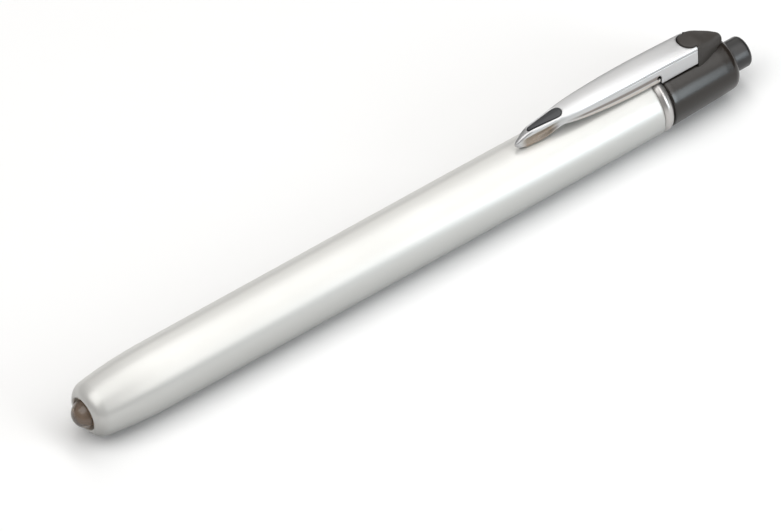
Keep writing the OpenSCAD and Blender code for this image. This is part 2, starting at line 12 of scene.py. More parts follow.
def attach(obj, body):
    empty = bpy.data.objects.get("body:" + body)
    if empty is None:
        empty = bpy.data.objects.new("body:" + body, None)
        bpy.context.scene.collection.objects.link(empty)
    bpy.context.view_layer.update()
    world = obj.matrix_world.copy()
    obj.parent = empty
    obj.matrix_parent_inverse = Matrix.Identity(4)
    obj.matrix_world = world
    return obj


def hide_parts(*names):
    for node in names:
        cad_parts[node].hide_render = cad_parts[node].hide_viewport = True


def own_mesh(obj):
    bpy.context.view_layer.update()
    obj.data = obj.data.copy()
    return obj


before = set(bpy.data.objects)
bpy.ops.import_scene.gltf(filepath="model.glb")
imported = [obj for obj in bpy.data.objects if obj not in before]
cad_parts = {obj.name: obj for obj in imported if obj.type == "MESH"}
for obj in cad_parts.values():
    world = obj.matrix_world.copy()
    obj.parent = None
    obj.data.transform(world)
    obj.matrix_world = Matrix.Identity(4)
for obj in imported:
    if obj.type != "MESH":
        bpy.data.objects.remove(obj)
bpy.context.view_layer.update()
print("frame loaded")

# Lengths are in millimetres, and places along the penlight count from the front face of its nose
mm = 0.001
middle = 68.645  # the place of the frame's origin
axisHeight = 6.0
look = {}  # finished materials by name


def place(u, y, h):
    # from place along the axis, side and height over the axis to the frame, in metres
    return ((u - middle) * mm, y * mm, (h + axisHeight) * mm)


# Mesh helpers


def closeMesh(mesh):
    # joins doubled points, drops spare faces, closes gaps and turns every face outwards
    near, passes = 4e-7, 4
    bm = bmesh.new()
    bm.from_mesh(mesh)
    bmesh.ops.remove_doubles(bm, verts=bm.verts, dist=near)
    bmesh.ops.dissolve_degenerate(bm, edges=bm.edges, dist=near)
    for _ in range(passes):
        crowded = [e for e in bm.edges if len(e.link_faces) > 2]
        spare = {min(e.link_faces, key=lambda f: f.calc_area()) for e in crowded}
        bmesh.ops.delete(bm, geom=list(spare), context="FACES_ONLY")
        bmesh.ops.delete(bm, geom=[e for e in bm.edges if not e.link_faces], context="EDGES")
        bmesh.ops.holes_fill(bm, edges=[e for e in bm.edges if len(e.link_faces) == 1], sides=0)
    bmesh.ops.recalc_face_normals(bm, faces=bm.faces)
    if bm.calc_volume(signed=True) < 0:
        bmesh.ops.reverse_faces(bm, faces=bm.faces)
    bm.to_mesh(mesh)
    bm.free()


def addObject(name, data):
    obj = bpy.data.objects.new(name, data)
    bpy.context.scene.collection.objects.link(obj)
    return obj


def addPiece(name, shape, body, finish, slotName, *nodes, sharp=40):
    # shape is (points, faces); nodes are what the piece replaces; edges over sharp degrees stay sharp
    mesh = bpy.data.meshes.new(name)
    mesh.from_pydata([place(*v) for v in shape[0]], [], shape[1])
    mesh.validate()
    closeMesh(mesh)
    obj = addObject(name, mesh)
    mesh.materials.append(look[finish])
    mesh.shade_smooth()
    mesh.set_sharp_from_angle(angle=radians(sharp))
    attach(obj, body)
    if nodes:
        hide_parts(*nodes)
    return obj


def arc(u, r, radius, start, end, steps):
    # points on an arc around (u, r); angle 0 points outward from the axis, 90 towards the tail
    turns = [radians(start + (end - start) * i / steps) for i in range(steps + 1)]
    return [(u + radius * sin(t), r + radius * cos(t)) for t in turns]


def rounded(points, radii):
    # closed outline with a small arc in place of each corner that has a radius
    steps, straight, reach = 6, 1.55, 0.49  # reach is the most of a side that an arc takes
    out = []
    for i, p in enumerate(points):
        r = radii[i] if isinstance(radii, list) else radii
        q, a, b = (np.array(v, float) for v in (p, points[i - 1], points[(i + 1) % len(points)]))
        da, db = a - q, b - q
        la, lb = norm(da), norm(db)
        da, db = da / la, db / lb
        half = acos(float(np.clip(da @ db, -1, 1))) / 2
        if r <= 0 or half > straight:
            out.append(tuple(q))
            continue
        cut = min(r / tan(half), la * reach, lb * reach)
        r = cut * tan(half)
        centre = q + (da + db) / norm(da + db) * (r / sin(half))
        s, e = q + da * cut - centre, q + db * cut - centre
        turn = acos(float(np.clip(s @ e / r / r, -1, 1)))
        for k in range(steps + 1):
            t = k / steps
            w = (s * sin((1 - t) * turn) + e * sin(t * turn)) / sin(turn)
            out.append(tuple(centre + w))
    return out


def joined(first, second, n):
    # faces between two rings of n points that start at these numbers
    return [(first + i, first + (i + 1) % n, second + (i + 1) % n, second + i) for i in range(n)]


def turned(outline, rounds=192, radiusAt=None):
    # revolves a closed outline of (place, radius); radiusAt(u, r, angle) may change the radius
    verts, faces = [], []
    n = len(outline)
    for k in range(rounds):
        a = 2 * pi * k / rounds
        for u, r in outline:
            if radiusAt:
                r = radiusAt(u, r, a)
            verts.append((u, r * cos(a), r * sin(a)))
        faces += joined(k * n, (k + 1) % rounds * n, n)
    return verts, faces


def turnedSolid(outline, rounds=192):
    # revolves an open outline that starts and ends on the axis
    verts = [(outline[0][0], 0, 0), (outline[-1][0], 0, 0)]
    inner = outline[1:-1]
    n = len(inner)
    faces = []
    for k in range(rounds):
        a = 2 * pi * k / rounds
        verts += [(u, r * cos(a), r * sin(a)) for u, r in inner]
        here, there = 2 + k * n, 2 + (k + 1) % rounds * n
        faces += [(0, here, there), (1, there + n - 1, here + n - 1), *joined(here, there, n)[:-1]]
    return verts, faces


def loft(sections):
    # joins sections of as many points each, and closes both ends
    n = len(sections[0])
    last = (len(sections) - 1) * n
    faces = []
    for first in range(0, last, n):
        faces += joined(first, first + n, n)
    faces += [tuple(range(n))[::-1], tuple(range(last, last + n))]
    return [p for section in sections for p in section], faces


def resampled(points, step):
    # evenly spaced points on a closed outline; its corners stay
    out = []
    for i, p in enumerate(points):
        a, b = np.array(p, float), np.array(points[(i + 1) % len(points)], float)
        length = norm(b - a)
        if length >= 1e-4:
            parts = max(1, ceil(length / step))
            out += [a + (b - a) * k / parts for k in range(parts)]
    return np.array(out)


def inset(points, depth):
    # moves a counter-clockwise outline inwards
    before, after = np.roll(points, 1, 0), np.roll(points, -1, 0)
    a, b = points - before, after - points
    a /= norm(a, axis=1)[:, None]
    b /= norm(b, axis=1)[:, None]
    n = np.stack([-(a + b)[:, 1], (a + b)[:, 0]], 1)
    length = norm(n, axis=1)
    n /= length[:, None]
    mitre = np.clip(length / 2, 0.5, 1)
    return points + n * (depth / mitre)[:, None]


def inside(points, outline):
    x, y = points[:, 0], points[:, 1]
    hit = np.zeros(len(points), bool)
    for a, b in zip(outline, np.roll(outline, -1, 0)):
        if a[1] != b[1]:
            cross = (a[1] > y) != (b[1] > y)
            hit ^= cross & (x < (b[0] - a[0]) * (y - a[1]) / (b[1] - a[1]) + a[0])
    return hit


def within(points, lines):
    # inside the first outline and outside the holes
    keep = inside(points, lines[0])
    for hole in lines[1:]:
        keep &= ~inside(points, hole)
    return keep


def slab(outlines, surface, grid, edge, steps=4):
    # A plate with rounded edges. outlines: the outer one counter-clockwise, then holes clockwise.
    # surface(u, w, side, depth) gives the point at that depth under the top (side 0) or over the
    # underside (side 1). edge = the radii at the top and the underside; grid = inner points.
    clear, shift, same = 0.1, 0.0005, 1e-7  # grid points keep clear of the rim
    verts, faces, rims = [], [], ([], [])
    for line in outlines:
        n = len(line)
        starts = ([], [])
        for side in (0, 1):
            for k in range(steps + 1):
                # from the face (t = 0) to the wall (t = 90 degrees)
                t = pi / 2 * k / steps
                points = inset(line, edge[side] * (1 - sin(t)) + shift * (side + 1))
                starts[side].append(len(verts))
                verts += [surface(u, w, side, edge[side] * (1 - cos(t))) for u, w in points]
                if k == 0:
                    rims[side].append((len(verts) - n, points))
        chain = starts[0] + starts[1][::-1]
        for a, b in zip(chain, chain[1:]):
            faces += [(a + i, b + i, b + (i + 1) % n, a + (i + 1) % n) for i in range(n)]
    for side in (0, 1):
        flat, links, ids = [], [], []
        lines = [points for _, points in rims[side]]
        for first, points in rims[side]:
            base, n = len(flat), len(points)
            flat += [Vector(p) for p in points.tolist()]
            ids += range(first, first + n)
            links += [(base + i, base + (i + 1) % n) for i in range(n)]
        tree = KDTree(len(flat))
        for i, p in enumerate(flat):
            tree.insert((p.x, p.y, 0), i)
        tree.balance()
        for u, w in grid[within(grid, lines)].tolist():
            if tree.find((u, w, 0))[2] > clear:
                flat.append(Vector((u, w)))
                ids.append(len(verts))
                verts.append(surface(u, w, side, 0))
        spots, _, tris, known = delaunay_2d_cdt(flat, links, [], 0, same)[:4]
        owner = []
        for p, origin in zip(spots, known):
            if not origin:
                verts.append(surface(p.x, p.y, side, 0))
            owner.append(ids[origin[0]] if origin else len(verts) - 1)
        centres = np.array([(spots[a] + spots[b] + spots[c]) / 3 for a, b, c in tris])
        for t, kept in zip(tris, within(centres, lines)):
            if kept:
                f = tuple(owner[i] for i in t)
                faces.append(f if side == 0 else f[::-1])
    return verts, faces


def blendMin(a, b, room):
    # smooth minimum of two heights
    h = max(0.0, min(1.0, 0.5 + 0.5 * (b - a) / room))
    return b * (1 - h) + a * h - room * h * (1 - h)


def smoothStep(x, low, high):
    t = max(0.0, min(1.0, (x - low) / (high - low)))
    return t * t * (3 - 2 * t)


def curveThrough(shares, u):
    # smooth curve through (place, value) points
    xs, ys = [s[0] for s in shares], [s[1] for s in shares]
    if u <= xs[0]:
        return ys[0]
    if u >= xs[-1]:
        return ys[-1]
    i = max(k for k in range(len(xs) - 1) if xs[k] <= u)
    slopes = [(ys[k + 1] - ys[k]) / (xs[k + 1] - xs[k]) for k in range(len(xs) - 1)]

    def tangent(k):
        if k == 0:
            return slopes[0]
        if k == len(xs) - 1:
            return slopes[-1]
        a, b = slopes[k - 1], slopes[k]
        return 0 if a * b <= 0 else 2 * a * b / (a + b)

    w = xs[i + 1] - xs[i]
    t = (u - xs[i]) / w
    return (
        ys[i] * (1 + 2 * t) * (1 - t) ** 2
        + tangent(i) * w * t * (1 - t) ** 2
        + ys[i + 1] * t * t * (3 - 2 * t)
        + tangent(i + 1) * w * t * t * (t - 1)
    )


# The clip's side walls get deeper behind their waist; start is in frame millimetres
wall = {"start": 31.0, "run": 18.0, "depth": 1.44, "deepens": 2.1}


def wallDepth(t):
    # t goes from 0 to 1 along the run, as a number or as a Link
    short = 1 - t
    return wall["depth"] + wall["deepens"] * (1 - short * short)


# Shader helpers


class Link:
    # one output socket; the operators add Math nodes
    def __init__(self, shade, socket):
        self.shade, self.socket = shade, socket

    def __add__(self, other):
        return self.shade.maths("ADD", self, other)

    __radd__ = __add__

    def __sub__(self, other):
        return self.shade.maths("SUBTRACT", self, other)

    def __rsub__(self, other):
        return self.shade.maths("SUBTRACT", other, self)

    def __mul__(self, other):
        return self.shade.maths("MULTIPLY", self, other)

    __rmul__ = __mul__

    def __truediv__(self, other):
        return self.shade.maths("DIVIDE", self, other)

    def __rtruediv__(self, other):
        return self.shade.maths("DIVIDE", other, self)

    def __pow__(self, other):
        return self.shade.maths("POWER", self, other)

    def clamped(self):
        return self.shade.maths("ADD", self, 0, clamp=True)

    def rises(self, start, run):
        # from 0 at start to 1 after the run
        return ((self - start) / run).clamped()

    def falls(self, end, run):
        # from 1 before the run to 0 at end
        return ((end - self) / run).clamped()


class Shade:
    # a material; node is the one method that adds nodes to it
    def __init__(self, name):
        self.material = bpy.data.materials.new(name)
        self.material.use_nodes = True
        self.tree = self.material.node_tree
        self.tree.nodes.clear()

    def node(self, kind, settings=None, sockets=None, out=0):
        # the settings come first; "stops" are a ramp's (place, grey level) pairs
        n = self.tree.nodes.new("ShaderNode" + kind)
        for key, value in (settings or {}).items():
            if key == "stops":
                for element, (at, level) in zip(n.color_ramp.elements, value):
                    element.position = at
                    element.color = (level, level, level, 1)
            else:
                setattr(n, key, value)
        for key, value in (sockets or {}).items():
            target = n.inputs[key]
            if isinstance(value, Link):
                self.tree.links.new(value.socket, target)
            else:
                target.default_value = (*value, 1) if target.type == "RGBA" else value
        if out is not None:
            return Link(self, n.outputs[out])

    def maths(self, operation, a, b, clamp=False):
        return self.node("Math", {"operation": operation, "use_clamp": clamp}, {0: a, 1: b})

    def place(self):
        return self.node("TexCoord", out="Object")

    def scaled(self, x, y, z):
        # object coordinates, stretched
        return self.node("VectorMath", {"operation": "MULTIPLY"}, {0: self.place(), 1: (x, y, z)})

    def noise(self, scale, detail, rough, where=None, seed=0.0):
        shift = (seed, seed * 0.7, seed * 0.3)
        moved = self.node("VectorMath", {"operation": "ADD"}, {0: where or self.place(), 1: shift})
        sockets = {"Vector": moved, "Scale": scale, "Detail": detail, "Roughness": rough}
        return self.node("TexNoise", None, sockets)

    def ramp(self, value, low, high):
        # 0 up to low, 1 from high
        return self.node("ValToRGB", {"stops": [(low, 0), (high, 1)]}, {0: value})

    def mix(self, factor, a, b):
        return self.node("Mix", {"data_type": "RGBA"}, {0: factor, 6: a, 7: b}, out=2)

    def bump(self, height, strength, distance, below=None):
        sockets = {"Height": height, "Strength": strength, "Distance": distance}
        if below:
            sockets["Normal"] = below
        return self.node("Bump", None, sockets)

    def principled(self, **sockets):
        # the finished material
        names = {
            "color": "Base Color", "rough": "Roughness", "metal": "Metallic", "normal": "Normal",
            "ior": "IOR", "clear": "Transmission Weight", "specular": "Specular IOR Level",
        }
        shader = self.node("BsdfPrincipled", None, {names[k]: v for k, v in sockets.items()})
        self.node("OutputMaterial", None, {"Surface": shader}, out=None)
        return self.material


# Wear marks and painted reflections along the clip's folded edge. Pairs are a mark's start or end and its
# run, in millimetres of the frame or below the fold; for the painted dark band and the painted pale strip
# (the lip keys) they are shares of the wall's depth.
foldWearAndPaintedReflections = {
    "height": 15.89, "top": 45.55, "radius": 220.0, "wornFrom": (22.6, 1.2), "wornTo": (30.2, 1.6),
    "wornBelow": (0.3, 0.25), "worn": (0.20, 0.165, 0.135), "wornWarm": (0.38, 0.26, 0.15),
    # the two wall colours are painted reflections of the barrel: a dark brown band and a pale strip under
    # it
    "wornPatch": 420, "wornLeast": 0.55, "wornGrain": 0.5, "bandRun": 4, "bandTo": (50.9, 0.3),
    "bandLow": (0.46, 0.1), "band": (0.16, 0.12, 0.095), "bandMix": 0.75, "lipLow": (0.76, 0.06),
    "lip": (0.62, 0.55, 0.47), "lipMix": 0.6, "crease": 0.68, "creaseWidth": 0.1,
    "creaseFrom": (34.0, 12), "creaseDepth": 0.00006,
}


def foldedEdge(s, f, fine, base, normal):
    # worn plating near the tip, a painted dark reflection band and a painted pale reflection strip low on
    # the wall, and the line of the crease
    x, z = (s.node("SeparateXYZ", None, {0: s.scaled(1000, 1000, 1000)}, out=k) for k in (0, 2))
    below = f["height"] - (x - f["top"]) ** 2 / (2 * f["radius"]) - z
    worn = x.rises(*f["wornFrom"]) * x.falls(*f["wornTo"]) * below.rises(*f["wornBelow"])
    worn = worn * (f["wornLeast"] + fine * f["wornGrain"]).clamped()
    base = s.mix(worn, base, s.mix(s.noise(f["wornPatch"], 2, 0.5, seed=6.0), f["worn"], f["wornWarm"]))
    share = below / wallDepth(x.rises(wall["start"], wall["run"]))
    along = x.rises(wall["start"], f["bandRun"]) * x.falls(*f["bandTo"])
    # painted reflection of the barrel in the wall: a dark band for its shaded side, a pale strip at the
    # bottom for its lit top
    band = share.rises(*f["bandLow"]) * share.falls(*f["lipLow"]) * along
    base = s.mix(band * f["bandMix"], base, f["band"])
    base = s.mix(share.rises(*f["lipLow"]) * along * f["lipMix"], base, f["lip"])
    away = (below - f["crease"]) / f["creaseWidth"]
    line = 1 / (1 + away * away * away * away) * x.rises(*f["creaseFrom"])
    return base, s.bump(1 - line, 1.0, f["creaseDepth"], normal)


# What all bare metal has: how its marks are stretched, and how much they change it
metalMarks = {
    "lines": (120, 5200, 5200), "specks": 900, "speckRamp": (0.68, 0.78), "smearTone": 0.912,
    "grainTone": 0.9, "grainMix": 0.22, "smearRough": 0.35, "grainRough": 0.25, "lineRough": 0.12,
    "speckRough": 0.03, "depth": 0.00002,
}


def metalFinish(name, color, rough, grain, smear, drawn=0.0, bite=0.3, metal=1.0, shine=0.5, fold=None):
    # bare metal: fine grain, faint smears, and drawn lines along the piece where drawn is above 0
    s, m = Shade(name), metalMarks
    fine = s.noise(grain, 2, 0.6)
    wide = s.noise(smear, 4, 0.55, seed=3.1)
    lines = s.noise(1.0, 3, 0.6, where=s.scaled(*m["lines"]), seed=1.7)
    specks = s.ramp(s.noise(m["specks"], 2, 0.5, seed=8.0), *m["speckRamp"])
    base = s.mix(wide, color, tuple(c * m["smearTone"] for c in color))
    base = s.mix(fine * m["grainMix"], base, tuple(c * m["grainTone"] for c in color))
    roughness = rough + (wide - 0.5) * (rough * m["smearRough"])
    roughness = roughness + (fine - 0.5) * (rough * m["grainRough"])
    roughness = roughness + lines * (drawn * m["lineRough"]) + specks * m["speckRough"]
    normal = s.bump(fine * (1 - drawn) + lines * drawn, bite, m["depth"])
    # fold adds worn plating and painted reflections of the barrel on the clip's wall
    if fold:
        base, normal = foldedEdge(s, fold, fine, base, normal)
    return s.principled(color=base, metal=metal, rough=roughness.clamped(), normal=normal, specular=shine)


metals = {
    "satinMetal": {
        "color": (0.76, 0.755, 0.73), "rough": 0.35, "metal": 0.3, "shine": 0.1, "grain": 5200,
        "smear": 42, "bite": 0.12,
    },
    "polishedMetal": {
        "color": (0.57, 0.55, 0.535), "rough": 0.34, "metal": 0.8, "grain": 3000, "smear": 300,
        "bite": 0.05,
    },
    "clipMetal": {
        "color": (0.645, 0.645, 0.65), "rough": 0.31, "metal": 0.8, "shine": 0.3, "grain": 5200,
        "smear": 60, "drawn": 0.6, "bite": 0.02, "fold": foldWearAndPaintedReflections,
    },
    "springSteel": {"color": (0.62, 0.62, 0.61), "rough": 0.27, "grain": 3600, "smear": 260, "drawn": 0.3},
    "contactBrass": {"color": (0.82, 0.62, 0.30), "rough": 0.24, "grain": 3200, "smear": 260},
    "cellSteel": {"color": (0.70, 0.70, 0.70), "rough": 0.22, "grain": 3600, "smear": 120},
}

# What all moulded plastic has
plasticMarks = {
    "smear": 160, "rubs": (60, 420, 420), "rubRamp": (0.55, 0.75), "rubMix": 0.35, "paler": 1.45,
    "palerBy": 0.004, "smearRough": 0.4, "rubRough": 0.06, "grainRough": 0.05, "depth": 0.00003,
}


def plasticFinish(name, color, rough, grain=2600, bite=0.25):
    # moulded plastic: fine texture, a slight change of tone and rub marks
    s, m = Shade(name), plasticMarks
    fine = s.noise(grain, 3, 0.6)
    wide = s.noise(m["smear"], 4, 0.6, seed=5.0)
    rub = s.ramp(s.noise(1.0, 4, 0.65, where=s.scaled(*m["rubs"]), seed=2.2), *m["rubRamp"])
    paler = tuple(min(1, c * m["paler"] + m["palerBy"]) for c in color)
    base = s.mix(wide, color, paler)
    base = s.mix(rub * m["rubMix"], base, paler)
    roughness = rough + (wide - 0.5) * (rough * m["smearRough"]) + rub * m["rubRough"]
    roughness = roughness + (fine - 0.5) * m["grainRough"]
    normal = s.bump(fine, bite, m["depth"])
    return s.principled(color=base, rough=roughness.clamped(), normal=normal)


plastics = {
    "capPlastic": {"color": (0.012, 0.008, 0.005), "rough": 0.23, "grain": 2400, "bite": 0.12},
    "buttonPlastic": {"color": (0.014, 0.013, 0.013), "rough": 0.3, "bite": 0.12},
    "keeperPlastic": {"color": (0.034, 0.029, 0.025), "rough": 0.55, "grain": 2200, "bite": 0.3},
    "inlayPlastic": {"color": (0.018, 0.019, 0.022), "rough": 0.34, "bite": 0.15},
    "bushPlastic": {"color": (0.60, 0.575, 0.54), "rough": 0.5},
    "switchPlastic": {"color": (0.76, 0.74, 0.68), "rough": 0.45, "bite": 0.15},
    "cellSealPlastic": {"color": (0.05, 0.11, 0.24), "rough": 0.5},
}


def rubberFinish(name, color, dusty, rough):
    s = Shade(name)
    fine = s.noise(1800, 4, 0.6)
    dust = s.ramp(s.noise(500, 3, 0.6, seed=4.0), 0.5, 0.8)
    base = s.mix(dust * 0.4, color, dusty)
    roughness = (rough + fine * 0.2).clamped()
    return s.principled(color=base, rough=roughness, normal=s.bump(fine, 0.3, 0.00003))


rubbers = {
    "sealRubber": {"color": (0.014, 0.013, 0.013), "dusty": (0.05, 0.048, 0.045), "rough": 0.62},
    "paleSilicone": {"color": (0.66, 0.64, 0.60), "dusty": (0.52, 0.50, 0.46), "rough": 0.12},
}


def grainFinish(name, colors, grain, rough, bite, depth, **sockets):
    # one grain drives colour, roughness and bump; rough is the least and how much the grain adds
    s = Shade(name)
    g = s.noise(*grain)
    base = s.mix(g, *colors)
    roughness, normal = rough[0] + g * rough[1], s.bump(g, bite, depth)
    return s.principled(color=base, rough=roughness, **sockets, normal=normal)


grains = {
    # warm clear resin of the lamp, with faint flow lines
    "lampResin": {
        "colors": ((0.80, 0.66, 0.55), (0.68, 0.54, 0.43)), "grain": (700, 3, 0.5), "rough": (0.06, 0.06),
        "bite": 0.05, "depth": 0.00002, "clear": 0.82, "ior": 1.5,
    },
    "phosphorGel": {
        "colors": ((0.86, 0.66, 0.12), (0.95, 0.82, 0.3)), "grain": (5200, 4, 0.7), "rough": (0.45, 0.2),
        "bite": 0.4, "depth": 0.00002,
    },
    "ceramicBody": {
        "colors": ((0.035, 0.035, 0.04), (0.08, 0.08, 0.09)), "grain": (6000, 3, 0.6),
        "rough": (0.35, 0.2), "bite": 0.2, "depth": 0.00001,
    },
}


def boardFinish(name):
    # green board: the weave of the glass shows through the lacquer
    s = Shade(name)
    threads = []
    for way in "YZ":
        sockets = {"Vector": s.place(), "Scale": 900.0, "Distortion": 1.0}
        threads.append(s.node("TexWave", {"wave_type": "BANDS", "bands_direction": way}, sockets))
    cloth = (threads[0] + threads[1]) * 0.5
    base = s.mix(cloth * 0.5, (0.022, 0.13, 0.055), (0.05, 0.2, 0.09))
    return s.principled(color=base, rough=0.3 + cloth * 0.1, normal=s.bump(cloth, 0.15, 0.00003))


def sleeveFinish(name):
    # plain foil sleeve of a cell, slightly wrinkled
    s = Shade(name)
    folds = s.noise(1.0, 3, 0.5, where=s.scaled(90, 300, 300))
    base = s.mix(s.noise(130, 3, 0.6, seed=2.0), (0.085, 0.13, 0.17), (0.12, 0.17, 0.21))
    sockets = {"color": base, "metal": 0.35, "rough": 0.28 + folds * 0.12}
    return s.principled(**sockets, normal=s.bump(folds, 0.25, 0.00006))


kinds = ((metalFinish, metals), (plasticFinish, plastics), (rubberFinish, rubbers), (grainFinish, grains))
for make, wanted in kinds:
    for name, settings in wanted.items():
        look[name] = make(name, **settings)
look["boardGreen"] = boardFinish("boardGreen")
look["cellSleeve"] = sleeveFinish("cellSleeve")
print("finishes made")

# Barrel: a thin tube with a rounded nose, drawn in a little towards the tail
barrel = {
    "length": 117.99, "radius": 6.0, "noseLength": 15.0, "noseFall": 1.3, "shoulder": 3.1, "hole": 3.0,
    "holeLip": 0.3, "tailRadius": 5.84, "tailFall": 42.0, "tailBend": 0.4, "tailEdge": 0.42, "bore": 5.45,
    "boreEdge": 0.12, "boreFront": 12,
    "noseInside": [(6, 4.95), (2.6, 4.4), (1.3, 3.6)],
    "frontWall": 1.3,
}


def barrelOutline(b):
    # the nose is a wide arc and then a shoulder arc, with a lip round the hole
    nose, shoulder, lip, end = b["noseLength"], b["shoulder"], b["holeLip"], b["length"]
    wide = (nose**2 + b["noseFall"] ** 2) / (2 * b["noseFall"])
    wideR = b["radius"] - wide
    shoulderR = wideR + sqrt((wide - shoulder) ** 2 - (nose - shoulder) ** 2)
    shoulderAngle = degrees(atan2(shoulder - nose, shoulderR - wideR))
    lipR = b["hole"] + lip
    lipU = shoulder - sqrt((shoulder - lip) ** 2 - (lipR - shoulderR) ** 2)
    lipAngle = degrees(atan2(lipU - shoulder, lipR - shoulderR))
    line = arc(lipU, lipR, lip, -180, lipAngle, 10)
    line += arc(shoulder, shoulderR, shoulder, lipAngle, shoulderAngle, 24)[1:]
    line += arc(nose, wideR, wide, shoulderAngle, 0, 24)[1:]
    start, fall, steps = end - b["tailFall"], b["radius"] - b["tailRadius"], 16
    line += [(u, b["radius"]) for u in np.linspace(nose, start, 14)[1:]]
    for i in range(1, steps + 1):
        t = i / steps
        drop = fall * ((1 - b["tailBend"]) * t + b["tailBend"] * t * t)
        line.append((start + (b["tailFall"] - b["tailEdge"]) * t, b["radius"] - drop))
    line += arc(end - b["tailEdge"], b["tailRadius"] - b["tailEdge"], b["tailEdge"], 0, 90, 10)[1:]
    bore, edge = b["bore"], b["boreEdge"]
    line += [(end, bore + edge), (end - edge, bore), (b["boreFront"], bore)]
    return line + b["noseInside"] + [(b["frontWall"], b["hole"])]


tube = turned(barrelOutline(barrel))
addPiece("barrelTube", tube, "barrel_unit", "satinMetal", "satin_metal", "barrel", sharp=50)

# Gasket in the opening, and the lamp's dome
gasket = {"front": 1.32, "back": 1.97, "inner": 2.52, "outer": 3.58, "round": 0.22}
lamp = {
    "tip": -1.7, "radius": 2.5, "rimFront": 5.9, "rimBack": 6.9, "rimRadius": 2.9, "rimEdge": 0.12,
    "inEdge": 0.1,
}


def ringSection(p):
    front, back, inner, outer = (p[k] for k in ("front", "back", "inner", "outer"))
    return rounded([(front, inner), (front, outer), (back, outer), (back, inner)], p["round"])


def lampOutline(p):
    # a round dome on a straight stem, and the rim behind it
    front, back, radius, rim = p["rimFront"], p["rimBack"], p["radius"], p["rimRadius"]
    corners = [(front - 1, radius), (front, radius), (front, rim), (back, rim), (back, 0)]
    edges = [0, p["inEdge"], p["rimEdge"], p["rimEdge"], 0]
    return arc(p["tip"] + radius, 0, radius, -90, 0, 28) + rounded(corners, edges)[1:]


ring = turned(ringSection(gasket))
addPiece("lensGasket", ring, "barrel_unit", "paleSilicone", "seal_rubber", "lens_gasket")
dome = turnedSolid(lampOutline(lamp))
addPiece("lampDome", dome, "barrel_unit", "lampResin", "lamp_resin", "lamp_dome")
print("barrel and lamp made")

# Neck: thread, groove for the seal, polished ring and spigot
neck = {
    "front": 109.79, "frontEdge": 0.45, "radius": 5.39, "inner": 4.44, "sealFront": 116.39,
    "sealBack": 117.49, "sealFloor": 4.97, "sealEdge": 0.06, "ringFront": 118.01, "ringGap": 0.1,
    "ringBack": 120.11, "ringRadius": 5.86, "crown": 1.15, "spigot": 4.93, "spigotBack": 127.11,
    "spigotEdge": 0.15,
}
thread = {
    "start": 0.05, "end": 115.9, "pitch": 0.75, "depth": 0.3, "rows": 12, "crest": 0.14, "flank": 0.72,
    "fadeIn": 0.6, "fadeOut": 0.7, "leadIn": 0.3, "leadRun": 0.5,
}


def neckOutline(n, t):
    front, radius = n["front"], n["radius"]
    rows = int((t["end"] - front) / (t["pitch"] / t["rows"]))
    run = t["end"] - front - t["start"]
    line = [(front, n["inner"]), (front, radius - n["frontEdge"])]
    line += [(front + t["start"] + run * i / rows, radius) for i in range(rows + 1)]
    first, last, edge = n["sealFront"], n["sealBack"], n["sealEdge"]
    line += [(first - edge, radius), (first, radius - edge), (first, n["sealFloor"])]
    line += [(last, n["sealFloor"]), (last, radius - edge), (last + edge, radius)]
    line += [(n["ringFront"] - n["ringGap"], radius), (n["ringFront"], radius)]
    half = degrees(asin((n["ringBack"] - n["ringFront"]) / 2 / n["crown"]))
    centre = (n["ringFront"] + n["ringBack"]) / 2
    line += arc(centre, n["ringRadius"] - n["crown"], n["crown"], -half, half, 22)
    last, edge = n["spigotBack"], n["spigotEdge"]
    line += [(n["ringBack"], n["spigot"]), (last - edge, n["spigot"]), (last, n["spigot"] - edge)]
    return line + [(last, n["inner"])]


def threadRadius(u, r, angle):
    # cuts the thread, faded in at the front and out before the groove
    t, front = thread, neck["front"]
    if r < neck["radius"] - 1e-6 or u > t["end"]:
        return r
    turn = (u / t["pitch"] - angle / (2 * pi)) % 1
    ridge = max(0.0, min(1.0, (abs(turn - 0.5) * 2 - t["crest"]) / t["flank"]))
    fadeOut = 1 - smoothStep(u, t["end"] - t["fadeOut"], t["end"])
    fade = smoothStep(u, front, front + t["fadeIn"]) * fadeOut
    leadIn = t["leadIn"] * (1 - smoothStep(u, front, front + t["leadRun"]))
    return r - leadIn - t["depth"] * (1 - ridge) * fade


tube = turned(neckOutline(neck, thread), 240, threadRadius)
addPiece("neckTube", tube, "tail_unit", "polishedMetal", "polished_metal", "neck", sharp=35)
seal = {"front": 116.41, "back": 117.47, "inner": 4.99, "outer": 5.42, "round": 0.2}
ring = turned(ringSection(seal), 128)
addPiece("neckSeal", ring, "seal_unit", "sealRubber", "seal_rubber", "neck_seal")

springs = {
    "batterySpring": {"radius": 3.52, "wire": 0.6, "turns": 5, "start": 101.81, "end": 110.12},
    "returnSpring": {"radius": 2.35, "wire": 0.4, "turns": 4, "start": 127.51, "end": 132.25},
}


def coil(radius, wire, turns, start, end):
    # wound wire spring
    perTurn, sides = 36, 12
    count = turns * perTurn
    path = []
    for i in range(count + 1):
        t = i / count
        a = 2 * pi * turns * t
        u = (start + wire / 2) + (end - start - wire) * t
        path.append(np.array([u, radius * cos(a), radius * sin(a)]))
    sections = []
    for i, p in enumerate(path):
        along = path[min(count, i + 1)] - path[max(0, i - 1)]
        along = along / norm(along)
        out = np.array([0, p[1], p[2]]) / radius
        side = np.cross(along, out)
        side /= norm(side)
        around = [2 * pi * k / sides for k in range(sides)]
        sections.append([tuple(p + wire / 2 * (cos(t) * out + sin(t) * side)) for t in around])
    return loft(sections)


winding = coil(**springs["batterySpring"])
addPiece("batterySpring", winding, "seal_unit", "springSteel", "spring_steel", "battery_spring", sharp=60)
winding = coil(**springs["returnSpring"])
returnSpring = addPiece(
    "returnSpring", winding, "tail_unit", "springSteel", "spring_steel", "return_spring", sharp=60
)
# the return spring gets a mesh of its own
springStart = springs["returnSpring"]["start"]
place(springStart, 0, 0)
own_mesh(returnSpring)
print("neck and springs made")

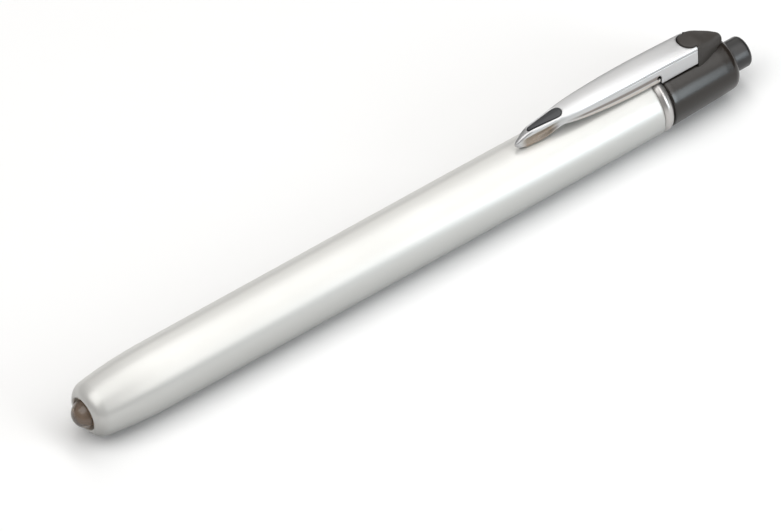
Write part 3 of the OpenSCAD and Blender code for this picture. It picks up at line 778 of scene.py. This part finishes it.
# Tail cap, and the boss on it that the clip grips
cap = {
    "front": 120.29, "end": 135.09, "frontRadius": 5.55, "rearRadius": 5.0, "lip": 0.28, "edge": 1.6,
    "edgeProud": 0.03, "bore": 4.95, "boreEnd": 127.6, "cavity": 3.35, "cavityEnd": 133.39,
    "buttonHole": 2.91, "holeEdge": 0.2,
}
boss = {
    "start": 120.59, "end": 127.59, "half": 1.66, "low": 4.6, "top": 8.85, "edge": 0.15,
    "waistStart": 124.9, "waistRun": 0.05, "waistHalf": 1.05, "waistLow": 6.0, "waistTop": 7.0,
}


def capRadius(u):
    t = (u - cap["front"]) / (cap["end"] - cap["front"])
    return cap["frontRadius"] + (cap["rearRadius"] - cap["frontRadius"]) * t


def capOutline(c):
    start, edge, hole, steps = c["front"] + c["lip"], c["edge"], c["holeEdge"], 16
    line = arc(start, c["frontRadius"] - c["lip"], c["lip"], -90, 0, 8)
    for i in range(1, steps):
        u = start + (c["end"] - edge - c["front"] - c["lip"]) * i / steps
        line.append((u, capRadius(u)))
    line += arc(c["end"] - edge, c["rearRadius"] - edge + c["edgeProud"], edge, 0, 90, 16)
    line += arc(c["end"] - hole, c["buttonHole"] + hole, hole, 90, 180, 6)
    line += [(c["cavityEnd"], c["buttonHole"]), (c["cavityEnd"], c["cavity"])]
    return line + [(c["boreEnd"], c["cavity"]), (c["boreEnd"], c["bore"]), (c["front"], c["bore"])]


def bossBlock(b):
    # waisted where the clip's lips reach under it; apart keeps the points of the plain part apart
    def section(waist, apart):
        half, low, top = b["half"], b["waistLow"], b["waistTop"]
        left = [(-half, b["low"]), (-half, low), (-waist, low + apart), (-waist, top - apart)]
        left += [(-half, top), (-half, b["top"])]
        right = [(-y, h) for y, h in left[::-1]]
        return rounded(left + right, [b["edge"] if h == b["top"] else 0 for _, h in left + right])

    plain, waisted = section(b["half"], 0.02), section(b["waistHalf"], 0)
    first, second = b["waistStart"], b["waistStart"] + b["waistRun"]
    stations = ((b["start"], plain), (first, plain), (second, waisted), (b["end"], waisted))
    return loft([[(u, y, h) for y, h in line] for u, line in stations])


tube = turned(capOutline(cap))
addPiece("tailCap", tube, "tail_unit", "capPlastic", "cap_plastic", "tail_cap", sharp=45)
addPiece("clipBoss", bossBlock(boss), "tail_unit", "capPlastic", "cap_plastic", sharp=30)

# Push button, with a shallow dish in its end
button = {
    "end": 138.99, "radius": 2.85, "edge": 0.8, "flangeFront": 132.27, "flangeBack": 133.37,
    "flange": 3.25, "flangeEdge": 0.1, "hole": 1.62, "holeEnd": 136.29, "dish": 0.14, "dishRim": 0.1,
}


def buttonOutline(b):
    front, back, wide, edge = b["flangeFront"], b["flangeBack"], b["flange"], b["flangeEdge"]
    radius = b["radius"]
    line = [(b["holeEnd"], 0), (b["holeEnd"], b["hole"]), (front, b["hole"]), (front, wide - edge)]
    line += [(front + edge, wide), (back - edge, wide), (back, wide - edge), (back, radius)]
    line += [(u, radius) for u in np.linspace(back, b["end"] - b["edge"], 8)[1:-1]]
    line += arc(b["end"] - b["edge"], radius - b["edge"], b["edge"], 0, 90, 14)
    inner, steps = radius - b["edge"] - b["dishRim"], 10
    for k in range(steps, 0, -1):
        line.append((b["end"] - b["dish"] * (1 - (k / steps) ** 2) ** 2, inner * k / steps))
    return line + [(b["end"] - b["dish"], 0)]


solid = turnedSolid(buttonOutline(button), 160)
addPiece("pushButton", solid, "button_unit", "buttonPlastic", "button_plastic", "push_button", sharp=45)
print("tail made")

# Clip: one folded sheet, drawn flat as (place along it, distance from its middle line over the crown and
# down the side). Half-width and, near the tip, the lower edge are shares along its length.
clip = {
    "tip": 90.39, "end": 127.59, "halfWidth": 2.45, "sheet": 0.5, "archTop": 114.19, "archRadius": 220.0,
    "edgeHeight": 9.89, "crown": 0.5, "corner": 0.5, "rim": 0.13, "tipLow": 6.08, "tipDepth": 3.89,
    "slopeLow": 7.5, "slopeHigh": 9.9, "slopeRun": 2.8, "slopeBlend": 1.0, "waistFrom": (0.3, 2.5),
    "waistTo": (6.5, 10.0), "flangeLength": 7.8, "flangeLow": 5.65, "flangeCorner": 0.22, "slit": 0.28,
    "slitHole": 0.42, "slitHoleBack": 0.5, "slitHoleHeight": 7.3, "socket": 2.05, "socketBack": 0.4,
    "horn": 0.09, "lipLength": 2.2, "lipInner": 1.2, "lipLow": 6.3, "lipTop": 6.8,
    "spacing": 0.16, "grid": 0.22,
}
planShares = [
    (0, 0.06), (0.006, 0.13), (0.016, 0.2), (0.035, 0.28), (0.062, 0.36), (0.13, 0.48), (0.18, 0.57),
    (0.22, 0.65), (0.27, 0.765), (0.34, 0.87), (0.44, 0.94), (0.53, 0.98), (0.63, 1), (0.73, 1),
    (0.84, 0.99), (0.94, 0.985), (1, 0.98),
]
lowShares = [
    (0, 0.42), (0.02, 0.53), (0.045, 0.64), (0.07, 0.75), (0.115, 0.78), (0.147, 0.755), (0.176, 0.7),
    (0.218, 0.51), (0.249, 0.37),
]
# how far the sides of the tip draw in, by share down the side
waistShares = [(0, 0), (0.15, 0.05), (0.62, 0.42), (0.89, 0.115), (1.0, 0.31)]
crownRadius = (clip["halfWidth"] ** 2 + clip["crown"] ** 2) / (2 * clip["crown"])
clipLength = clip["end"] - clip["tip"]


def archHeight(u):
    radius = clip["archRadius"]
    return clip["edgeHeight"] - (radius - sqrt(radius**2 - (u - clip["archTop"]) ** 2))


def clipHalf(u):
    return clip["halfWidth"] * curveThrough(planShares, (u - clip["tip"]) / clipLength)


def clipTop(u, y):
    # the arch, cut by the slope of the tip, less the fall of the crown
    rise = (clip["slopeHigh"] - clip["slopeLow"]) * (u - clip["tip"]) / clip["slopeRun"]
    fall = crownRadius - sqrt(max(0.01, crownRadius**2 - y * y))
    return blendMin(archHeight(u) + clip["crown"], clip["slopeLow"] + rise, clip["slopeBlend"]) - fall


def clipSection(u):
    # where the crown ends, its slope there, the corner's radius, where the corner ends along the sheet,
    # and how high its centre is
    half = clipHalf(u)
    r = min(clip["corner"], half * 0.8)
    lean = 0.0
    for _ in range(4):
        flatEnd = half - r * (1 - sin(lean))
        lean = asin(min(0.9, flatEnd / crownRadius))
    return flatEnd, lean, r, flatEnd + r * (pi / 2 - lean), clipTop(u, flatEnd) - r * cos(lean)


def clipEdge(u):
    # height of the lower edge, from the tip to the slit
    s = (u - clip["tip"]) / clipLength
    if s <= lowShares[-1][0]:
        return max(clip["tipLow"], archHeight(u) - clip["tipDepth"] * curveThrough(lowShares, s))
    return archHeight(u) - wallDepth(min(1.0, (u - middle - wall["start"]) / wall["run"]))


def alongSheet(u, height):
    _, _, _, cornerEnd, cornerHeight = clipSection(u)
    return cornerEnd + cornerHeight - height


def clipPoint(u, w, side, depth):
    flatEnd, lean, r, cornerEnd, cornerHeight = clipSection(u)
    d = min(depth if side == 0 else clip["sheet"] - depth, r)
    way = 1 if w >= 0 else -1
    w = abs(w)
    if w <= flatEnd:
        t = asin(w / crownRadius)
        y, h = w - d * sin(t), clipTop(u, w) - d * cos(t)
    elif w <= cornerEnd:
        t = lean + (w - flatEnd) / r
        y = flatEnd - r * sin(lean) + (r - d) * sin(t)
        h = cornerHeight + (r - d) * cos(t)
    else:
        y, h = flatEnd + r * (1 - sin(lean)) - d, cornerHeight - (w - cornerEnd)
    starts, ends = ([clip["tip"] + v for v in clip[k]] for k in ("waistFrom", "waistTo"))
    share = smoothStep(u, *starts) * (1 - smoothStep(u, *ends))
    if w > flatEnd and share > 0:
        # the sides of the tip draw in to a waist and flare out to a lip
        top, low = clipTop(u, flatEnd), clipEdge(u)
        t = (top - h) / max(0.2, top - low)
        y *= 1 - share * curveThrough(waistShares, t)
    return (u, way * max(0.015, y), h)


def clipOutline(c):
    # one side of the flat sheet from the tip to the middle of the socket, and then both
    flange, corner = c["end"] - c["flangeLength"], c["flangeCorner"]
    armEnd, steps = flange - c["slit"], 150
    side = []
    for i in range(steps + 1):
        u = c["tip"] + (armEnd - c["tip"]) * (i / steps) ** 1.25
        side.append((u, alongSheet(u, clipEdge(u))))
    # a slit rises behind the arm into a round hole, and the flange comes down behind it
    hole, holeU, holeH = c["slitHole"], flange - c["slitHoleBack"], c["slitHoleHeight"]
    opens, steps = acos((c["slitHoleBack"] - c["slit"]) / hole), 20
    line = []
    for k in range(steps + 1):
        t = -opens - (2 * pi - opens) * k / steps
        line.append((holeU + hole * cos(t), holeH + hole * sin(t)))
    line.append((flange, holeH - hole * 0.4))
    for cornerU, first in ((flange + corner, 180), (c["end"] - corner, 270)):
        for t in (radians(first + 15 * k) for k in range(7)):
            line.append((cornerU + corner * cos(t), c["flangeLow"] + corner + corner * sin(t)))
    side += [(u, alongSheet(u, h)) for u, h in line]
    # up the end face to the horn, then round the socket
    across, steps = acos(c["socketBack"] / c["socket"]), 30
    side.append((c["end"], c["socket"] * sin(across) + c["horn"]))
    for k in range(steps + 1):
        t = across + (pi - across) * k / steps + (0.04 if k == 0 else 0)
        side.append((c["end"] - c["socketBack"] + c["socket"] * cos(t), c["socket"] * sin(t)))
    return resampled([(u, -w) for u, w in side[:-1]] + side[::-1], c["spacing"])


def clipGrid():
    # points over the crown, round the corner and down the side
    step, start, deepest = clip["grid"], 0.2, 4.2
    points = []
    for u in np.arange(clip["tip"] + 0.08, clip["end"], step):
        flatEnd, _, _, cornerEnd, _ = clipSection(u)
        rows = [flatEnd * k / 9 for k in range(10)]
        rows += [flatEnd + (cornerEnd - flatEnd) * k / 7 for k in range(1, 8)]
        rows += list(np.arange(cornerEnd + start, cornerEnd + deepest, step))
        points += [(u, w) for w in rows] + [(u, -w) for w in rows if w > 0]
    return np.array(points)


# Inlay: a teardrop let into the clip near its tip
inlay = {
    "tipU": 93.04, "length": 7.0, "tipRadius": 0.35, "roundRadius": 1.1, "proud": 0.03, "dome": 0.22,
    "gap": 0.05, "edge": 0.1, "underEdge": 0.03, "spacing": 0.12, "grid": 0.18,
}


def teardrop(gap):
    # a round end and a narrow one, joined by their tangents and let out by the gap
    tip, back, steps = inlay["tipRadius"], inlay["roundRadius"], 20
    tipU, backU = inlay["tipU"] + tip, inlay["tipU"] + inlay["length"] - back
    lean = asin((back - tip) / (backU - tipU))
    line = []
    for u, r, way in ((backU, back, 1), (tipU, tip, -1)):
        for k in range(steps + 1):
            t = way * (-pi / 2 - lean) + (pi + way * 2 * lean) * k / steps
            line.append((u + (r + gap) * cos(t), (r + gap) * sin(t)))
    return resampled(line, inlay["spacing"])


def inlayPoint(u, w, side, depth):
    if side == 1:
        return (u, w, clipTop(u, w) - clip["sheet"] + depth)
    dome = inlay["dome"] * (1 - (w / inlay["roundRadius"]) ** 2)
    return (u, w, clipTop(u, w) + inlay["proud"] + dome - depth)


def planGrid(line, step):
    xs, ys = (np.arange(line[:, k].min(), line[:, k].max(), step) for k in (0, 1))
    return np.array([(x, y) for x in xs for y in ys])


def lipBlock(way):
    # lip turned in under the boss
    low, top, outer = clip["lipLow"], clip["lipTop"], clipHalf(clip["end"]) - 0.05
    section = rounded([(clip["lipInner"], low), (outer, low), (outer, top), (clip["lipInner"], top)], 0.1)
    return loft([[(clip["end"] - v, way * y, h) for y, h in section] for v in (clip["lipLength"], 0.02)])


clipLines = [clipOutline(clip), teardrop(inlay["gap"])[::-1]]
sheet = slab(clipLines, clipPoint, clipGrid(), (clip["rim"], clip["rim"]))
addPiece("pocketClip", sheet, "clip_unit", "clipMetal", "clip_metal", "clip", sharp=60)
for word, way in (("Left", -1), ("Right", 1)):
    addPiece("clipLip" + word, lipBlock(way), "clip_unit", "clipMetal", "clip_metal", sharp=30)
inlayLine = teardrop(0)
inlayEdges = (inlay["edge"], inlay["underEdge"])
drop = slab([inlayLine], inlayPoint, planGrid(inlayLine, inlay["grid"]), inlayEdges)
addPiece("clipInlay", drop, "clip_unit", "inlayPlastic", "black_inlay", "clip_inlay", sharp=50)

# Keeper behind the clip: a crowned wedge that comes down onto the cap, with a round lobe in the clip's
# socket. Half-width and height are shares along its length.
keeper = {
    "front": 127.64, "length": 6.75, "halfWidth": 2.33, "base": 6.0, "rise": 4.2, "crownShare": 0.9,
    "edge": 0.32, "underEdge": 0.03, "corner": 0.06, "seatGap": 0.02, "thinnest": 0.06, "lobe": 1.85,
    "lobeCentre": 127.19, "lobeLow": 8.87, "lobeBlend": 0.5, "proud": 0.08, "spacing": 0.14, "grid": 0.16,
    "widths": [
        (0, 1.01), (0.1, 0.99), (0.18, 0.955), (0.3, 0.88), (0.44, 0.76), (0.57, 0.62), (0.7, 0.46),
        (0.8, 0.31), (0.88, 0.2),
    ],
    "heights": [
        (0, 0.976), (0.1, 0.95), (0.18, 0.917), (0.3, 0.84), (0.44, 0.726), (0.57, 0.63), (0.7, 0.524),
        (0.8, 0.43), (0.88, 0.345), (0.95, 0.18), (0.985, -0.1),
    ],
}


def keeperTop(u, y):
    k = keeper
    s = (u - k["front"]) / k["length"]
    lobe = archHeight(u) + clip["crown"] + k["proud"] - (crownRadius - sqrt(crownRadius**2 - y * y))
    if s <= 0:
        return lobe
    half = max(0.3, curveThrough(k["widths"], s) * k["halfWidth"])
    rel = min(1.0, abs(y) / half)
    fall = clip["crown"] * half / k["halfWidth"] * (rel**2 + rel**8) * k["crownShare"]
    t = smoothStep(u, k["front"], k["front"] + k["lobeBlend"])
    return lobe * (1 - t) + (k["base"] + k["rise"] * curveThrough(k["heights"], s) - fall) * t


def keeperPoint(u, w, side, depth):
    k = keeper
    radius = capRadius(u) + k["seatGap"]
    past = u - (cap["end"] - cap["edge"])
    if past > 0:
        rounding = sqrt(max(0.01, cap["edge"] ** 2 - past**2))
        radius = cap["rearRadius"] - cap["edge"] + rounding + cap["edgeProud"]
    low = k["lobeLow"] if u < k["front"] - 0.01 else sqrt(max(0.1, radius**2 - w * w))
    top = max(keeperTop(u, w), low + k["thinnest"])
    d = min(depth, (top - low) * 0.45)
    return (u, w, top - d if side == 0 else low + d)


def keeperOutline(k):
    # one side to the rear, where the end is a round point, and then both with the lobe in front
    front, last, count, steps = k["front"], k["widths"][-1][0], 59, 12
    side = []
    for i in range(count + 1):
        s = last * i / count
        side.append((front + k["length"] * s, k["halfWidth"] * curveThrough(k["widths"], s)))
    tipU = front + k["length"] * k["heights"][-1][0]
    endU, endY = side[-1]
    for t in (pi / 2 * i / steps for i in range(1, steps + 1)):
        side.append((endU + (tipU - endU) * sin(t), endY * cos(t)))
    opens = acos((front - k["lobeCentre"]) / k["lobe"]) + 0.02
    turns = np.linspace(opens, 2 * pi - opens, 60)
    lobe = [(k["lobeCentre"] + k["lobe"] * cos(t), k["lobe"] * sin(t)) for t in turns]
    # a small bevel at the front corners
    bevel = [(front + k["corner"], side[0][1]), (front, side[0][1] - k["corner"])]
    line = side[:0:-1] + bevel + lobe + [(u, -y) for u, y in bevel[::-1] + side[1:-1]]
    line = [p for i, p in enumerate(line) if norm(np.subtract(p, line[i - 1])) > 0.012]
    return resampled(line, k["spacing"])


keeperLine = keeperOutline(keeper)
keeperEdges = (keeper["edge"], keeper["underEdge"])
wedge = slab([keeperLine], keeperPoint, planGrid(keeperLine, keeper["grid"]), keeperEdges, steps=5)
addPiece("clipKeeper", wedge, "tail_unit", "keeperPlastic", "keeper_plastic", "clip_keeper", sharp=50)
print("clip made")

# Inner pieces keep their own shape and get the finishes
inner = {
    "bushPlastic": ["lamp_bush", "board_retainer"],
    "springSteel": ["lamp_cathode", "lamp_anode"],
    "phosphorGel": ["lamp_phosphor"],
    "ceramicBody": ["resistor"],
    "contactBrass": [
        "ground_ring", "positive_stud", "spring_seat", "centre_terminal", "side_contact",
        "bridge_contact",
    ],
    "boardGreen": ["lamp_board"],
    "cellSteel": ["front_cell_can", "front_cell_base", "rear_cell_can", "rear_cell_base"],
    "cellSealPlastic": ["front_cell_seal", "rear_cell_seal"],
    "cellSleeve": ["front_cell_sleeve", "rear_cell_sleeve"],
    "switchPlastic": ["switch_housing", "plunger", "switch_cover"],
}
for finish, names in inner.items():
    for name in names:
        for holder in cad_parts[name].material_slots:
            holder.material = look[finish]
print("inner pieces finished")

# Camera: the place "centre" shows at the pixel "spot", moved "along" and "across" the penlight;
# "scale" is in pixels per millimetre.
view = {
    "side": 22.5, "over": 51.5, "turn": 28.95, "distance": 2000.0, "scale": 5.90, "centre": 66.53,
    "spot": (400, 239), "along": 3.0, "across": 0.25, "image": (781, 531), "sensor": 36,
}


def addCamera(v):
    side, over, turn = (radians(v[k]) for k in ("side", "over", "turn"))
    d = Vector((-sin(side), -cos(side) * cos(over), cos(side) * sin(over)))
    ahead = Vector((1, 0, 0))
    a = (ahead - ahead.dot(d) * d).normalized()
    b = d.cross(a)
    right = a * cos(turn) - b * sin(turn)
    up = a * sin(turn) + b * cos(turn)
    px = v["spot"][0] + cos(turn) * v["along"] - sin(turn) * v["across"]
    py = v["spot"][1] - sin(turn) * v["along"] - cos(turn) * v["across"]
    dx, dy = px + 0.5 - v["image"][0] / 2, v["image"][1] / 2 - py - 0.5
    spot = Vector((v["centre"] - middle, 0, axisHeight)) + d * v["distance"]
    spot = spot - right * dx / v["scale"] - up * dy / v["scale"]
    data = bpy.data.cameras.new("camera")
    data.lens = v["scale"] * v["distance"] * v["sensor"] / v["image"][0]
    data.sensor_width = v["sensor"]
    data.clip_end = 100
    obj = addObject("camera", data)
    matrix = Matrix((right, up, d)).transposed().to_4x4()
    matrix.translation = spot * mm
    obj.matrix_world = matrix
    bpy.context.scene.camera = obj


addCamera(view)

# Floor, world and lamps; these lengths are in metres
stage = {
    "floorHalf": 12.0, "floorColor": 0.08, "floorSeen": 0.96, "grain": 0.01, "world": 0.13,
    "worldColor": (1.0, 0.985, 0.965),
}
lamps = {
    "key": {"way": (-0.45, -0.04, 0.89), "size": (1.0, 0.8), "power": 5.2},
    "panel": {"way": (0.383, -0.316, 0.868), "size": (0.36, 2.1), "power": 6.9},
    "back": {
        "way": (0.383, 0.728, 0.569), "size": (0.36, 0.6), "power": 0.75, "color": (1.0, 0.99, 0.97),
    },
    "front": {
        "way": (0.383, -0.874, 0.30), "size": (0.045, 0.165), "power": 0.24, "color": (0.84, 0.94, 1.0),
        "distance": 0.3, "aim": 0.061,
    },
}


def addFloor(p):
    # pale to the camera and in reflections, and dark to the light that it would throw back
    s = Shade("floorPaper")
    rays = [s.node("LightPath", out="Is %s Ray" % kind) for kind in ("Camera", "Glossy", "Transmission")]
    seen = (rays[0] + rays[1] + rays[2]).clamped()
    grain = s.noise(40, 3, 0.5)
    level = p["floorColor"] + (grain - 0.5) * p["grain"] + seen * (p["floorSeen"] - p["floorColor"])
    tone = s.node("CombineColor", None, {0: level, 1: level, 2: level})
    material = s.principled(color=tone, rough=1.0, specular=0.0)
    mesh = bpy.data.meshes.new("floor")
    h = p["floorHalf"]
    mesh.from_pydata([(-h, -h, 0), (h, -h, 0), (h, h, 0), (-h, h, 0)], [], [(0, 1, 2, 3)])
    mesh.materials.append(material)
    addObject("floor", mesh)


def addLamp(name, way, size, power, color=(1.0, 0.995, 0.985), distance=0.9, aim=0.0):
    # faces the penlight's axis at aim, with its width along the penlight
    data = bpy.data.lights.new(name, "AREA")
    data.shape = "RECTANGLE"
    data.size, data.size_y = size
    data.energy = power
    data.color = color
    way = Vector(way).normalized()
    along = (Vector((1, 0, 0)) - way.x * way).normalized()
    matrix = Matrix((along, way.cross(along), way)).transposed().to_4x4()
    matrix.translation = Vector((aim, 0, axisHeight * mm)) + way * distance
    addObject(name, data).matrix_world = matrix


def addWorld(p):
    world = bpy.data.worlds.new("studio")
    bpy.context.scene.world = world
    world.use_nodes = True
    sky = world.node_tree.nodes["Background"]
    sky.inputs["Color"].default_value = (*p["worldColor"], 1)
    sky.inputs["Strength"].default_value = p["world"]


addFloor(stage)
for name, settings in lamps.items():
    addLamp(name, **settings)
addWorld(stage)
bpy.context.scene.view_settings.view_transform = "Standard"
print("stage made")

bpy.context.view_layer.update()
